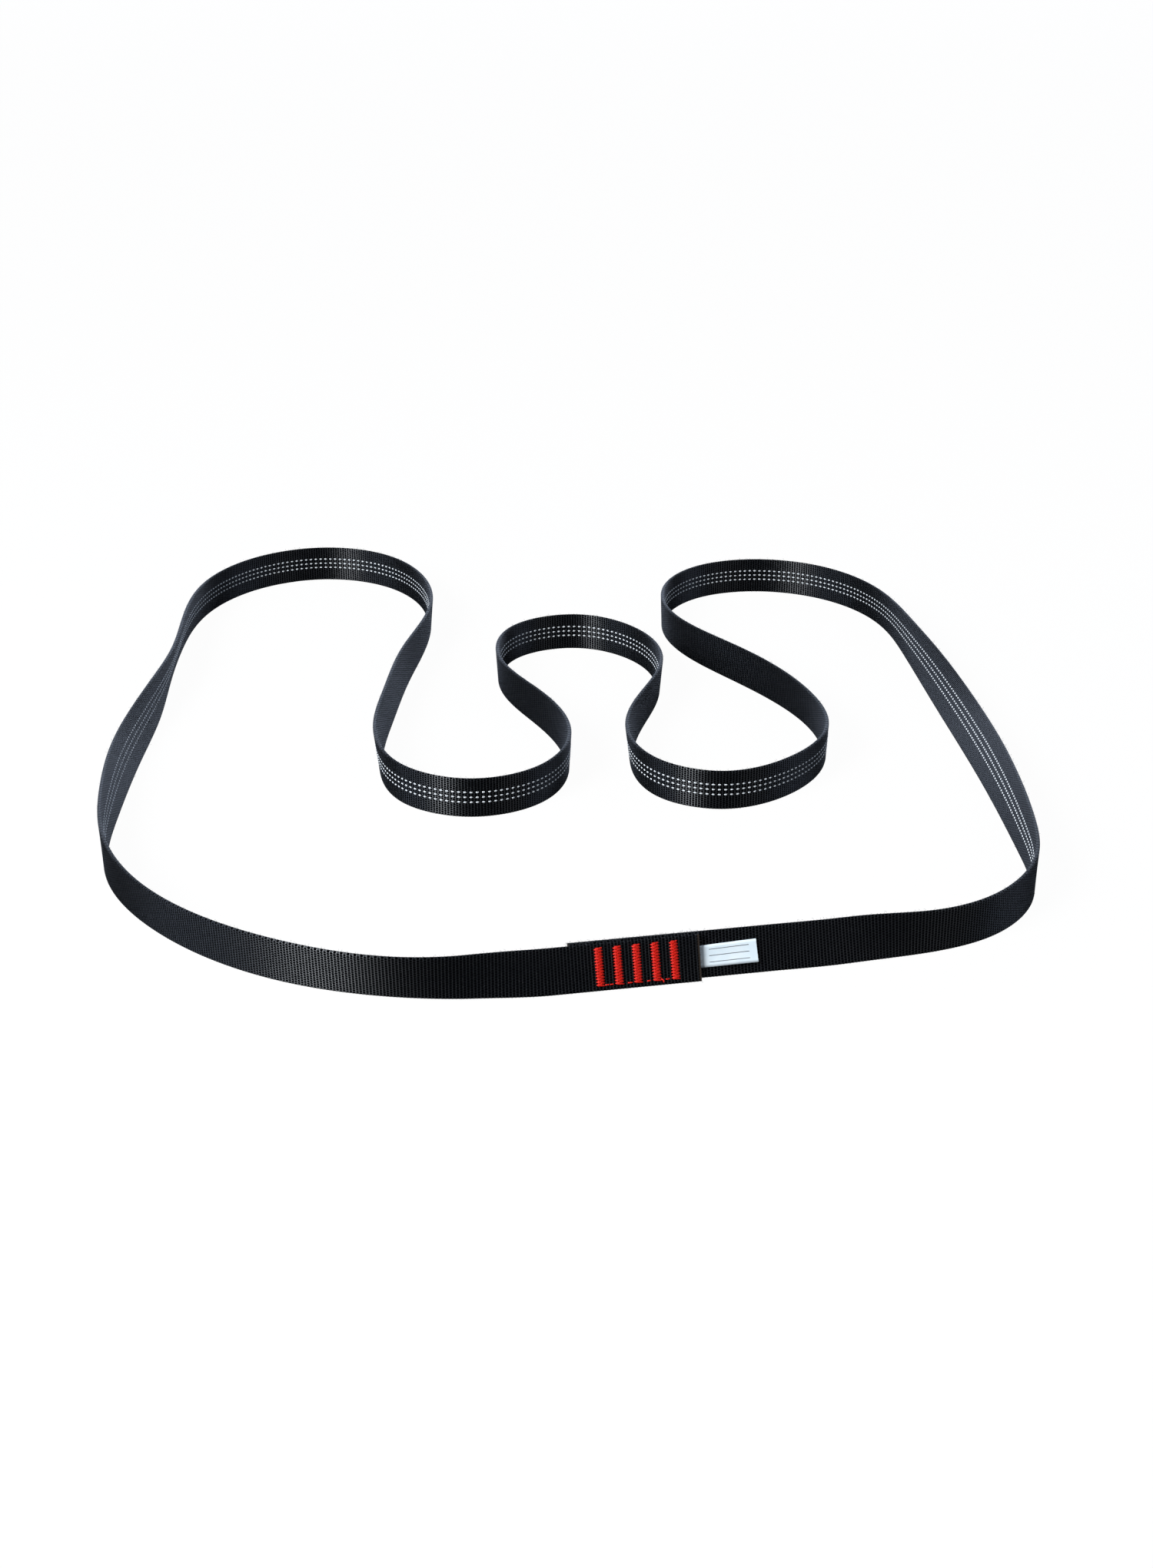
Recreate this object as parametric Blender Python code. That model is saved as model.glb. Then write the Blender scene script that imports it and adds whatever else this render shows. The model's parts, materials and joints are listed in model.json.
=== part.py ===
"""A sewn webbing sling lying in a loose loop, standing on the edge of its tape.

One length of flat nylon tape is laid in a loop, its two ends lapped and joined by bar tacks.
Metres, +Z up. The lap is at the front (-Y) and the loop's box is centred on the origin.
"""
import math

import bmesh
import bpy
import numpy as np
from mathutils import Matrix, Vector

# The sling: length of the loop pulled flat, and the woven tape
SLING_LENGTH = 1.200
TAPE_WIDTH = 0.018
TAPE_THICKNESS = 0.0016
SELVEDGE_CHAMFER = 0.0004

# The lap, where the two ends lie on each other
LAP_LENGTH = 0.050
LAP_RUNOUT = 0.006
LAYER_EASE = 0.030
LAP_TURN_DEGREES = 11.3
LAP_LEAN_DEGREES = 20.0
CLEARANCE = 0.00025

# Three tracer yarns inlaid in the inner face, and how far their middle sits under the tape's
TRACER_SPACING = 0.0023
TRACER_DROP = 0.0004
TRACER_WIDTH = 0.00075
TRACER_THICKNESS = 0.00035
TRACER_NAMES = ("tracer_yarn_bottom", "tracer_yarn_middle", "tracer_yarn_top")

# Bar tacks: each is one thread wound round both layers through two slots. The margins are
# the tape left above and below them, and the shift is that of the whole row along the lap.
TACK_COUNT = 5
TACK_PITCH = 0.0072
TACK_WIDTH = 0.0038
TACK_STITCHES = 13
TACK_MARGIN_ABOVE = 0.0021
TACK_MARGIN_BELOW = 0.0015
TACK_SHIFT = 0.0008
THREAD_DIAMETER = 0.0005

# Link stitches: one short staple of the same thread between each two tacks, near their lower
# ends. The share is of the space between the tacks.
LINK_WIDTH_SHARE = 0.4
LINK_RISE = 0.0003

# The label: a satin ribbon held between the layers, its free part lying on the tape. The stub
# is the part of its root that stands out of the lap, up to the crease.
LABEL_WIDTH = 0.0085
LABEL_THICKNESS = 0.00025
LABEL_STUB = 0.0006
LABEL_FLAP = 0.0215

# How finely the long pieces are stepped along their length
LONGEST_STEP = 0.050
STEP_TURN_DEGREES = 15.0
STEP_TWIST_DEGREES = 24.0

# One overrun serves every cut
OVERRUN = 0.001

# The loop's shape, clockwise from the lap's left end: x and y as shares of the sling's
# length, measured from the middle of the loop, and how far the tape leans inwards, in degrees
ROUTE_SHARES = (
    (-0.0325, -0.1916, 0), (-0.0842, -0.1815, -4), (-0.1330, -0.1446, -4), (-0.1540, -0.1072, -1),
    (-0.1585, -0.0613, -17), (-0.1578, -0.0113, -30), (-0.1568, 0.0304, -14), (-0.1583, 0.0679, 8),
    (-0.1585, 0.1090, 7), (-0.1508, 0.1545, 1), (-0.1283, 0.1835, 0), (-0.1050, 0.1912, 0),
    (-0.0817, 0.1838, 0), (-0.0617, 0.1562, 0), (-0.0571, 0.1179, -5), (-0.0625, 0.0696, 7),
    (-0.0664, 0.0263, 9), (-0.0672, -0.0179, 7), (-0.0558, -0.0479, 0), (-0.0325, -0.0583, 0),
    (-0.0092, -0.0479, 0), (0.0017, -0.0196, 3), (-0.0092, 0.0238, 2), (-0.0242, 0.0596, -4),
    (-0.0175, 0.0979, 0), (0.0058, 0.1071, 0), (0.0292, 0.0913, 0), (0.0375, 0.0596, -5),
    (0.0300, 0.0221, 1), (0.0258, -0.0129, 7), (0.0375, -0.0438, 0), (0.0575, -0.0517, 0),
    (0.0825, -0.0388, 0), (0.0971, -0.0113, 3), (0.0950, 0.0221, -1), (0.0692, 0.0696, 5),
    (0.0450, 0.1113, -3), (0.0450, 0.1496, 0), (0.0583, 0.1675, 0), (0.0800, 0.1755, 0),
    (0.1088, 0.1680, 0), (0.1305, 0.1429, 0), (0.1400, 0.1013, -11), (0.1450, 0.0513, -38),
    (0.1486, 0.0179, -48), (0.1537, -0.0296, -37), (0.1585, -0.0904, -14), (0.1568, -0.1240, 0),
    (0.1383, -0.1508, 0), (0.1158, -0.1618, 2), (0.0958, -0.1676, 18),
)
LAP_MIDDLE_SHARES = (0.0236, -0.1836)

TAPE_COLOUR = (0.004, 0.005, 0.007, 1.0)
TRACER_COLOUR = (0.80, 0.82, 0.84, 1.0)
THREAD_COLOUR = (0.69, 0.018, 0.010, 1.0)
LABEL_COLOUR = (0.74, 0.88, 0.97, 1.0)

LAYER_GAP = LABEL_THICKNESS + 2 * CLEARANCE
LAYER_PITCH = TAPE_THICKNESS + LAYER_GAP
TACK_LENGTH = TAPE_WIDTH - TACK_MARGIN_ABOVE - TACK_MARGIN_BELOW
TACK_DROP = (TACK_MARGIN_ABOVE - TACK_MARGIN_BELOW) / 2
STITCH_PITCH = TACK_LENGTH / TACK_STITCHES

MILLIMETRES = 1000


def clear_scene():
    for item in list(bpy.data.objects):
        bpy.data.objects.remove(item)


def new_collection(name):
    made = bpy.data.collections.new(name)
    bpy.context.scene.collection.children.link(made)
    return made


def new_material(name, colour, roughness):
    made = bpy.data.materials.new(name)
    made.use_nodes = True
    shader = made.node_tree.nodes["Principled BSDF"]
    shader.inputs["Base Color"].default_value = colour
    shader.inputs["Roughness"].default_value = roughness
    shader.inputs["Metallic"].default_value = 0.0
    return made


def spline_slopes(knots, values, first, last):
    """Slopes at the knots of the smooth (C2) cubic through the values, with both end slopes given."""
    count = len(knots)
    steps = np.diff(knots)
    rises = np.diff(values, axis=0) / steps[:, None]
    matrix = np.eye(count)
    right = np.zeros_like(values)
    right[0], right[-1] = first, last
    for i in range(1, count - 1):
        matrix[i, i - 1] = 1 / steps[i - 1]
        matrix[i, i + 1] = 1 / steps[i]
        matrix[i, i] = 2 * (matrix[i, i - 1] + matrix[i, i + 1])
        right[i] = 3 * (rises[i - 1] / steps[i - 1] + rises[i] / steps[i])
    return np.linalg.solve(matrix, right)


def smooth_step(share):
    share = np.clip(share, 0, 1)
    return share * share * (3 - 2 * share)


class Loop:
    """The path of the tape: where it stands, how it leans and how far along it each place is."""

    samples_per_knot = 40
    scaling_passes = 4

    def __init__(self):
        turn = math.radians(LAP_TURN_DEGREES)
        self.lap_way = np.array([-math.cos(turn), -math.sin(turn)])
        scale = SLING_LENGTH
        for _ in range(self.scaling_passes):
            self.lay_out(scale)
            scale *= 2 * SLING_LENGTH / self.length

    def lay_out(self, scale):
        """Read the smooth closed path from the shares, with the lap an exactly straight stretch."""
        lap_way = np.append(self.lap_way, 0)
        middle = np.append(np.array(LAP_MIDDLE_SHARES) * scale, LAP_LEAN_DEGREES)
        left = middle + lap_way * (LAP_LENGTH / 2 + LAP_RUNOUT)
        right = middle - lap_way * (LAP_LENGTH / 2 + LABEL_FLAP + LAP_RUNOUT)
        stops = np.vstack([left, np.array(ROUTE_SHARES) * (scale, scale, 1), right])
        apart = np.linalg.norm(np.diff(stops[:, :2], axis=0), axis=1)
        slopes = spline_slopes(np.concatenate([[0], np.cumsum(apart)]), stops, lap_way, lap_way)
        path = [middle]
        shares = np.arange(self.samples_per_knot) / self.samples_per_knot
        for i, step in enumerate(apart):
            for share in shares:
                one, two = 1 - share, share
                path.append(
                    (1 + 2 * two) * one * one * stops[i]
                    + two * one * one * step * slopes[i]
                    + two * two * (3 - 2 * two) * stops[i + 1]
                    - two * two * one * step * slopes[i + 1]
                )
        path = np.array(path + [right, middle])
        self.foot = path[:, :2]
        self.lean = np.radians(path[:, 2])
        way = np.gradient(self.foot, axis=0)
        way[0] = way[-1] = self.lap_way
        self.way = way / np.linalg.norm(way, axis=1)[:, None]
        inward = np.stack([self.way[:, 1], -self.way[:, 0]], axis=1)
        middle_line = self.foot + inward * (TAPE_WIDTH / 2 * np.sin(self.lean))[:, None]
        steps = np.linalg.norm(np.diff(middle_line, axis=0), axis=1)
        self.along = np.concatenate([[0], np.cumsum(steps)])
        self.length = self.along[-1]

    def stations(self, start, end):
        """Places from start to end along the loop, closer together where it bends or twists."""
        heading = np.unwrap(np.arctan2(self.way[:, 1], self.way[:, 0]))
        turning = np.abs(np.gradient(heading, self.along)) / math.radians(STEP_TURN_DEGREES)
        twisting = np.abs(np.gradient(self.lean, self.along)) / math.radians(STEP_TWIST_DEGREES)
        density = np.maximum(turning + twisting, 1 / LONGEST_STEP)
        places = np.linspace(start, end, len(self.along))
        density = np.interp(places % self.length, self.along, density)
        steps = (density[1:] + density[:-1]) / 2 * np.diff(places)
        total = np.concatenate([[0], np.cumsum(steps)])
        count = math.ceil(total[-1])
        return np.interp(np.linspace(0, total[-1], count + 1), total, places)

    def layer_offset(self, place):
        """How far the tape is moved inwards at a place, to lie beside its other end in the lap."""
        from_start = smooth_step((LAP_LENGTH / 2 + LAP_RUNOUT + LAYER_EASE - place) / LAYER_EASE)
        kept = LAP_LENGTH / 2 + LABEL_FLAP + LAP_RUNOUT
        to_end = smooth_step((place - self.length + kept + LAYER_EASE) / LAYER_EASE)
        return (to_end - from_start) * LAYER_PITCH / 2

    def section_at(self, place):
        """Middle of the tape's section, its lean and its inward direction at a place."""
        inside = place % self.length
        foot = np.array([np.interp(inside, self.along, self.foot[:, axis]) for axis in (0, 1)])
        way = np.array([np.interp(inside, self.along, self.way[:, axis]) for axis in (0, 1)])
        way /= np.linalg.norm(way)
        lean = float(np.interp(inside, self.along, self.lean))
        inward = np.array([way[1], -way[0]])
        shift = TAPE_WIDTH / 2 * math.sin(lean) + self.layer_offset(place) / math.cos(lean)
        spot = foot + inward * shift
        height = -min(b * math.cos(lean) - a * math.sin(lean) for a, b in tape_section())
        return Vector((*spot, height)), lean, Vector((*inward, 0))


def tracer_heights():
    return [(row - 1) * TRACER_SPACING - TRACER_DROP for row in range(len(TRACER_NAMES))]


def tape_section():
    """Outline of the tape's section: first value inwards through it, second across its width."""
    half_width, half_thick = TAPE_WIDTH / 2, TAPE_THICKNESS / 2
    chamfer = min(SELVEDGE_CHAMFER, half_thick / 2)
    points = [
        (-half_thick + chamfer, -half_width), (half_thick - chamfer, -half_width),
        (half_thick, -half_width + chamfer),
    ]
    reach = TRACER_WIDTH / 2 + CLEARANCE
    floor = half_thick - TRACER_THICKNESS - CLEARANCE
    for height in tracer_heights():
        points += [
            (half_thick, height - reach), (floor, height - reach),
            (floor, height + reach), (half_thick, height + reach),
        ]
    points += [
        (half_thick, half_width - chamfer), (half_thick - chamfer, half_width),
        (-half_thick + chamfer, half_width), (-half_thick, half_width - chamfer),
        (-half_thick, -half_width + chamfer),
    ]
    return points


def tracer_section(height):
    outer = TAPE_THICKNESS / 2
    inner = outer - TRACER_THICKNESS
    half = TRACER_WIDTH / 2
    return [(inner, height - half), (outer, height - half), (outer, height + half), (inner, height + half)]


def mesh_from_curve(curve_object, name, collection, material):
    """Turn a curve object into a closed mesh object of its own and remove the curve."""
    weld_share = 0.001
    bpy.context.view_layer.update()
    evaluated = curve_object.evaluated_get(bpy.context.evaluated_depsgraph_get())
    mesh = bpy.data.meshes.new_from_object(evaluated)
    mesh.name = name
    shell = bmesh.new()
    shell.from_mesh(mesh)
    bmesh.ops.remove_doubles(shell, verts=shell.verts, dist=THREAD_DIAMETER * weld_share)
    bmesh.ops.recalc_face_normals(shell, faces=shell.faces)
    shell.to_mesh(mesh)
    shell.free()
    mesh.materials.clear()
    mesh.materials.append(material)
    made = bpy.data.objects.new(name, mesh)
    made.matrix_world = curve_object.matrix_world
    collection.objects.link(made)
    bpy.data.objects.remove(curve_object)
    return made


def poly_curve(name, points, tilts=None):
    curve = bpy.data.curves.new(name, "CURVE")
    curve.dimensions = "3D"
    curve.twist_mode = "Z_UP"
    curve.use_fill_caps = True
    spline = curve.splines.new("POLY")
    spline.points.add(len(points) - 1)
    for index, point in enumerate(points):
        spline.points[index].co = (*point, 1)
        spline.points[index].tilt = tilts[index] if tilts else 0
    made = bpy.data.objects.new(name, curve)
    bpy.context.scene.collection.objects.link(made)
    return made


def swept_along_loop(name, loop, places, section, collection, material):
    """Sweep a section along the loop: the way every piece that runs the sling's length is made."""
    outline = bpy.data.curves.new(name + "_section", "CURVE")
    outline.dimensions = "2D"
    edge = outline.splines.new("POLY")
    edge.points.add(len(section) - 1)
    for point, (a, b) in zip(edge.points, section):
        point.co = (a, b, 0, 1)
    edge.use_cyclic_u = True
    outline_object = bpy.data.objects.new(name + "_section", outline)
    bpy.context.scene.collection.objects.link(outline_object)
    sections = [loop.section_at(place) for place in places]
    path = poly_curve(name + "_path", [spot for spot, _, _ in sections], [lean for _, lean, _ in sections])
    path.data.bevel_mode = "OBJECT"
    path.data.bevel_object = outline_object
    made = mesh_from_curve(path, name, collection, material)
    bpy.data.objects.remove(outline_object)
    return made


def lap_frame(loop):
    """Matrix of the lap: X along the tape to the right, Y across its width, Z outwards."""
    lean = math.radians(LAP_LEAN_DEGREES)
    outer, _, inward = loop.section_at(0)
    inner, _, _ = loop.section_at(loop.length)
    across = inward * math.sin(lean) + Vector((0, 0, math.cos(lean)))
    along = Vector((*(-loop.lap_way), 0))
    outwards = along.cross(across)
    middle = (outer + inner) / 2
    return Matrix.Translation(middle) @ Matrix((along, across, outwards)).transposed().to_4x4()


def stack_reach():
    """Distance from the middle of the lap to the middle of the thread outside it."""
    return LAYER_PITCH / 2 + TAPE_THICKNESS / 2 + CLEARANCE + THREAD_DIAMETER / 2


def tack_places():
    """Middle of each tack along the lap."""
    first = TACK_SHIFT - (TACK_COUNT - 1) / 2 * TACK_PITCH
    return [first + number * TACK_PITCH for number in range(TACK_COUNT)]


def leg_reach():
    """Distance from a tack's middle to its thread's legs through the tape."""
    return (TACK_WIDTH - THREAD_DIAMETER) / 2


def hole_width():
    return THREAD_DIAMETER + 2 * CLEARANCE


def slot_reach():
    """Distance from a tack's middle to the far sides of its two slots."""
    return leg_reach() + hole_width() / 2


def tack_thread_points():
    """One unbroken thread: across the front, through, back across behind, and down a stitch."""
    reach, depth = leg_reach(), stack_reach()
    top = TACK_LENGTH / 2
    points = []
    for stitch in range(TACK_STITCHES):
        high = top - stitch * STITCH_PITCH
        low = high - STITCH_PITCH / 2
        points += [(-reach, high, depth), (reach, low, depth), (reach, low, -depth)]
        if stitch < TACK_STITCHES - 1:
            points.append((-reach, high - STITCH_PITCH, -depth))
    return points


def least_gap(points, diameter):
    """Least distance between the surfaces of a thread's lengths that do not follow each other."""
    samples_per_run = 12
    dense, owner = [], []
    for index, (first, second) in enumerate(zip(points, points[1:])):
        for share in np.linspace(0, 1, samples_per_run):
            dense.append(np.array(first) * (1 - share) + np.array(second) * share)
            owner.append(index)
    dense, owner = np.array(dense), np.array(owner)
    apart = np.linalg.norm(dense[:, None] - dense[None], axis=2)
    apart[np.abs(owner[:, None] - owner[None]) < 2] = np.inf
    return apart.min() - diameter


def thread_object(name, points, matrix, collection, material):
    path = poly_curve(name + "_path", points)
    path.data.twist_mode = "MINIMUM"
    path.data.bevel_depth = THREAD_DIAMETER / 2
    path.data.bevel_resolution = 1
    path.matrix_world = matrix
    made = mesh_from_curve(path, name, collection, material)
    made.data.shade_smooth()
    return made


def make_tacks(frame, collection, material):
    points = tack_thread_points()
    for number, place in enumerate(tack_places(), start=1):
        matrix = frame @ Matrix.Translation((place, -TACK_DROP, 0))
        thread_object(f"bar_tack_{number}", points, matrix, collection, material)
    gap = least_gap(points, THREAD_DIAMETER)
    print("least gap in a bar tack, mm:", round(gap * MILLIMETRES, 3))


def link_place(left, right):
    """Middle of the link stitch between two tacks: near their lower ends."""
    return ((left + right) / 2, -TACK_DROP - TACK_LENGTH / 2 + LINK_RISE, 0)


def link_reach():
    """Distance from a link stitch's middle to its two legs."""
    return (TACK_PITCH - TACK_WIDTH) * LINK_WIDTH_SHARE / 2


def make_links(frame, collection, material):
    half, depth = link_reach(), stack_reach()
    points = [(-half, 0, -depth), (-half, 0, depth), (half, 0, depth), (half, 0, -depth)]
    places = tack_places()
    for number, (left, right) in enumerate(zip(places, places[1:]), start=1):
        matrix = frame @ Matrix.Translation(link_place(left, right))
        thread_object(f"link_stitch_{number}", points, matrix, collection, material)


def box(name, size, matrix, collection, material=None):
    bpy.ops.mesh.primitive_cube_add(size=1)
    made = bpy.context.object
    made.name = made.data.name = name
    made.data.transform(Matrix.Diagonal((*size, 1)))
    made.matrix_world = matrix
    for other in list(made.users_collection):
        other.objects.unlink(made)
    collection.objects.link(made)
    if material:
        made.data.materials.append(material)
    return made


def make_slot_cutters(frame, collection):
    """Slots for the tacks' legs and holes for the link stitches, through both layers."""
    hole = hole_width()
    depth = 2 * (stack_reach() + OVERRUN)
    cutters = []
    places = tack_places()
    for number, place in enumerate(places, start=1):
        for side in (-1, 1):
            at = frame @ Matrix.Translation((place + side * leg_reach(), -TACK_DROP, 0))
            size = (hole, TACK_LENGTH + hole, depth)
            cutters.append(box(f"cut_tack_{number}_{side}", size, at, collection))
    for number, (left, right) in enumerate(zip(places, places[1:]), start=1):
        for side in (-1, 1):
            at = frame @ Matrix.Translation(link_place(left, right))
            at = at @ Matrix.Translation((side * link_reach(), 0, 0))
            cutters.append(box(f"cut_link_{number}_{side}", (hole, hole, depth), at, collection))
    for cutter in cutters:
        cutter.hide_render = True
        cutter.display_type = "WIRE"
    return cutters


def make_tape(loop, places, parts, cutters, material):
    tape = swept_along_loop("webbing_tape", loop, places, tape_section(), parts, material)
    for cutter in cutters:
        cut = tape.modifiers.new(cutter.name, "BOOLEAN")
        cut.operation = "DIFFERENCE"
        cut.solver = "EXACT"
        cut.object = cutter
    return tape


def tracer_ends(loop):
    """The yarns run where no stitch pierces the tape: from the last slot round to the first."""
    tacks = tack_places()
    past_slot = slot_reach() + CLEARANCE
    return [past_slot - tacks[0], loop.length - tacks[-1] - past_slot]


def make_tracers(loop, places, parts, material):
    start, end = tracer_ends(loop)
    free = [place for place in places if start <= place <= end]
    for name, height in zip(TRACER_NAMES, tracer_heights()):
        swept_along_loop(name, loop, free, tracer_section(height), parts, material)


def make_label(frame, parts, material):
    """The root lies between the layers behind the last tack, the flap turns about its edge."""
    start = tack_places()[-1] + slot_reach() + CLEARANCE
    edge = LAP_LENGTH / 2 + LABEL_STUB
    root_length = edge - start
    root = frame @ Matrix.Translation((edge - root_length / 2, -TACK_DROP, 0))
    box("label_root", (root_length, LABEL_WIDTH, LABEL_THICKNESS), root, parts, material)
    hinge = frame @ Matrix.Translation((edge + CLEARANCE, -TACK_DROP, 0))
    flap = box("label_flap", (LABEL_FLAP, LABEL_WIDTH, LABEL_THICKNESS), hinge, parts, material)
    flap.data.transform(Matrix.Translation((LABEL_FLAP / 2, 0, 0)))
    return flap


def centre_on_origin(tape, collections):
    """Move the whole model so that the tape's box stands centred on the origin."""
    corners = np.array([tape.matrix_world @ vertex.co for vertex in tape.data.vertices])
    low, high = corners.min(axis=0), corners.max(axis=0)
    shift = Matrix.Translation((-(low[0] + high[0]) / 2, -(low[1] + high[1]) / 2, -low[2]))
    for collection in collections:
        for item in collection.objects:
            item.matrix_world = shift @ item.matrix_world
    return shift


def main():
    clear_scene()
    parts = new_collection("webbing_sling")
    cutting = new_collection("cutters")
    nylon = new_material("black_nylon_webbing", TAPE_COLOUR, 0.6)
    tracer = new_material("white_tracer_yarn", TRACER_COLOUR, 0.7)
    thread = new_material("red_polyester_thread", THREAD_COLOUR, 0.45)
    satin = new_material("white_satin_ribbon", LABEL_COLOUR, 0.4)

    loop = Loop()
    frame = lap_frame(loop)
    cutters = make_slot_cutters(frame, cutting)
    places = loop.stations(-LAP_LENGTH / 2, loop.length + LAP_LENGTH / 2)
    places = np.unique(np.append(places, tracer_ends(loop)))
    tape = make_tape(loop, places, parts, cutters, nylon)
    make_tracers(loop, places, parts, tracer)
    make_tacks(frame, parts, thread)
    make_links(frame, parts, thread)
    flap = make_label(frame, parts, satin)
    shift = centre_on_origin(tape, (parts, cutting))

    print("loop's length along the middle of the tape, mm:", round(loop.length * MILLIMETRES, 2))
    print("label hinge at:", [round(value, 6) for value in flap.matrix_world.translation])
    across = (flap.matrix_world.to_3x3() @ Vector((0, 1, 0))).normalized()
    print("label hinge axis:", [round(value, 6) for value in across])
    lap = shift @ frame
    for label, side in (("inner face", -1), ("outer face", 1)):
        face = lap @ Vector((0, 0, side * (LAYER_PITCH + TAPE_THICKNESS) / 2))
        print("middle of the lap's", label, [round(value, 6) for value in face])


main()
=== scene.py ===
"""The looks of a sewn climbing sling: ribbed black webbing, white tracer yarns, red tacks, satin label."""
import json
import math

import bmesh
import bpy
import numpy as np
from mathutils import Matrix, Vector


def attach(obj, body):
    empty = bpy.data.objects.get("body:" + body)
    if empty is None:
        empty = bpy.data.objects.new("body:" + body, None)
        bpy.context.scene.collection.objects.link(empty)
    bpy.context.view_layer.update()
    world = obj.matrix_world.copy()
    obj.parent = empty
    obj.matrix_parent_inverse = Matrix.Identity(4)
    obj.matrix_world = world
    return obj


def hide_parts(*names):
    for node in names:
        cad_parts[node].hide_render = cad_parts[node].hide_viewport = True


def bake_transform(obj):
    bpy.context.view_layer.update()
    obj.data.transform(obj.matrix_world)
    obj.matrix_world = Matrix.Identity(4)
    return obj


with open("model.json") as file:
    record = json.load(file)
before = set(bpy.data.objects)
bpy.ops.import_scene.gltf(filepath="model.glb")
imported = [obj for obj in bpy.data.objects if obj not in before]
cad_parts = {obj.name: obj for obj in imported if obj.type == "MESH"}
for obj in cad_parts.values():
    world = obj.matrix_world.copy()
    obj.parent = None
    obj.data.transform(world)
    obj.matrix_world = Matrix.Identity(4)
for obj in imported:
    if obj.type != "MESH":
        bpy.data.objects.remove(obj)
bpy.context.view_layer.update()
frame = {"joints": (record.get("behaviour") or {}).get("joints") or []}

scene = bpy.context.scene


# The camera looks down on the loop from the side of its lap, like a long lens at arm's length
# from a table.
CAMERA_PLACE = (0.0076, -1.0684, 0.4665)
CAMERA_PITCH_DEGREES = 24.3
CAMERA_LENS_MM = 80.64
CAMERA_SENSOR_MM = 36.0

camera_data = bpy.data.cameras.new("camera")
camera_data.sensor_fit = "HORIZONTAL"
camera_data.sensor_width = CAMERA_SENSOR_MM
camera_data.lens = CAMERA_LENS_MM
camera = bpy.data.objects.new("camera", camera_data)
camera.location = CAMERA_PLACE
camera.rotation_euler = (math.radians(90 - CAMERA_PITCH_DEGREES), 0, 0)
scene.collection.objects.link(camera)
scene.camera = camera


# The route of the tape: one length of webbing, 2.45 m, laid once round with its ends lapped. It
# stands on its lower edge and leans in or out where it twists. The points are shares of the
# sling's length, clockwise from the lap's left end: x, y and lean inwards in degrees.
SLING_LENGTH = 1.200
TAPE_WIDTH = 0.018
TAPE_THICKNESS = 0.0016
EDGE_CHAMFER = 0.0004
LAP_LENGTH = 0.050
LAP_RUNOUT = 0.006
LAYER_EASE = 0.030
LAP_TURN = math.radians(11.3)
LAP_LEAN_DEGREES = 20.0
CLEARANCE = 0.00025
LABEL_THICKNESS = 0.00025
LABEL_STUB = 0.0006
LABEL_FLAP = 0.0215
STITCH_DROP = 0.0003
LAYER_PITCH = TAPE_THICKNESS + LABEL_THICKNESS + 2 * CLEARANCE
ROUTE_SHARES = (
    (-0.0325, -0.1916, 0), (-0.0842, -0.1815, -4), (-0.1330, -0.1446, -4), (-0.1540, -0.1072, -1),
    (-0.1585, -0.0613, -17), (-0.1578, -0.0113, -30), (-0.1568, 0.0304, -14), (-0.1583, 0.0679, 8),
    (-0.1585, 0.1090, 7), (-0.1508, 0.1545, 1), (-0.1283, 0.1835, 0), (-0.1050, 0.1912, 0),
    (-0.0817, 0.1838, 0), (-0.0617, 0.1562, 0), (-0.0571, 0.1179, -5), (-0.0625, 0.0696, 7),
    (-0.0664, 0.0263, 9), (-0.0672, -0.0179, 7), (-0.0558, -0.0479, 0), (-0.0325, -0.0583, 0),
    (-0.0092, -0.0479, 0), (0.0017, -0.0196, 3), (-0.0092, 0.0238, 2), (-0.0242, 0.0596, -4),
    (-0.0175, 0.0979, 0), (0.0058, 0.1071, 0), (0.0292, 0.0913, 0), (0.0375, 0.0596, -5),
    (0.0300, 0.0221, 1), (0.0258, -0.0129, 7), (0.0375, -0.0438, 0), (0.0575, -0.0517, 0),
    (0.0825, -0.0388, 0), (0.0971, -0.0113, 3), (0.0950, 0.0221, -1), (0.0692, 0.0696, 5),
    (0.0450, 0.1113, -3), (0.0450, 0.1496, 0), (0.0583, 0.1675, 0), (0.0800, 0.1755, 0),
    (0.1088, 0.1680, 0), (0.1305, 0.1429, 0), (0.1400, 0.1013, -11), (0.1450, 0.0513, -38),
    (0.1486, 0.0179, -48), (0.1537, -0.0296, -37), (0.1585, -0.0904, -14), (0.1568, -0.1240, 0),
    (0.1383, -0.1508, 0), (0.1158, -0.1618, 2), (0.0958, -0.1676, 18),
)
LAP_MIDDLE_SHARES = (0.0236, -0.1836)
SAMPLES_PER_KNOT = 40
SCALING_PASSES = 4
lap_way = np.array([-math.cos(LAP_TURN), -math.sin(LAP_TURN)])


def smooth_step(share):
    """From 0 to 1 over a share, level at both ends."""
    share = np.clip(share, 0, 1)
    return share * share * (3 - 2 * share)


def cubic_slopes(knots, values, end_slope):
    """Slopes at the knots of the smooth cubic through the values, with one slope at both ends."""
    steps = np.diff(knots)
    rises = np.diff(values, axis=0) / steps[:, None]
    matrix = np.eye(len(knots))
    wanted = np.zeros_like(values)
    wanted[0] = wanted[-1] = end_slope
    for i in range(1, len(knots) - 1):
        matrix[i, i - 1] = 1 / steps[i - 1]
        matrix[i, i + 1] = 1 / steps[i]
        matrix[i, i] = 2 * (matrix[i, i - 1] + matrix[i, i + 1])
        wanted[i] = 3 * (rises[i - 1] / steps[i - 1] + rises[i] / steps[i])
    return np.linalg.solve(matrix, wanted)


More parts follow.
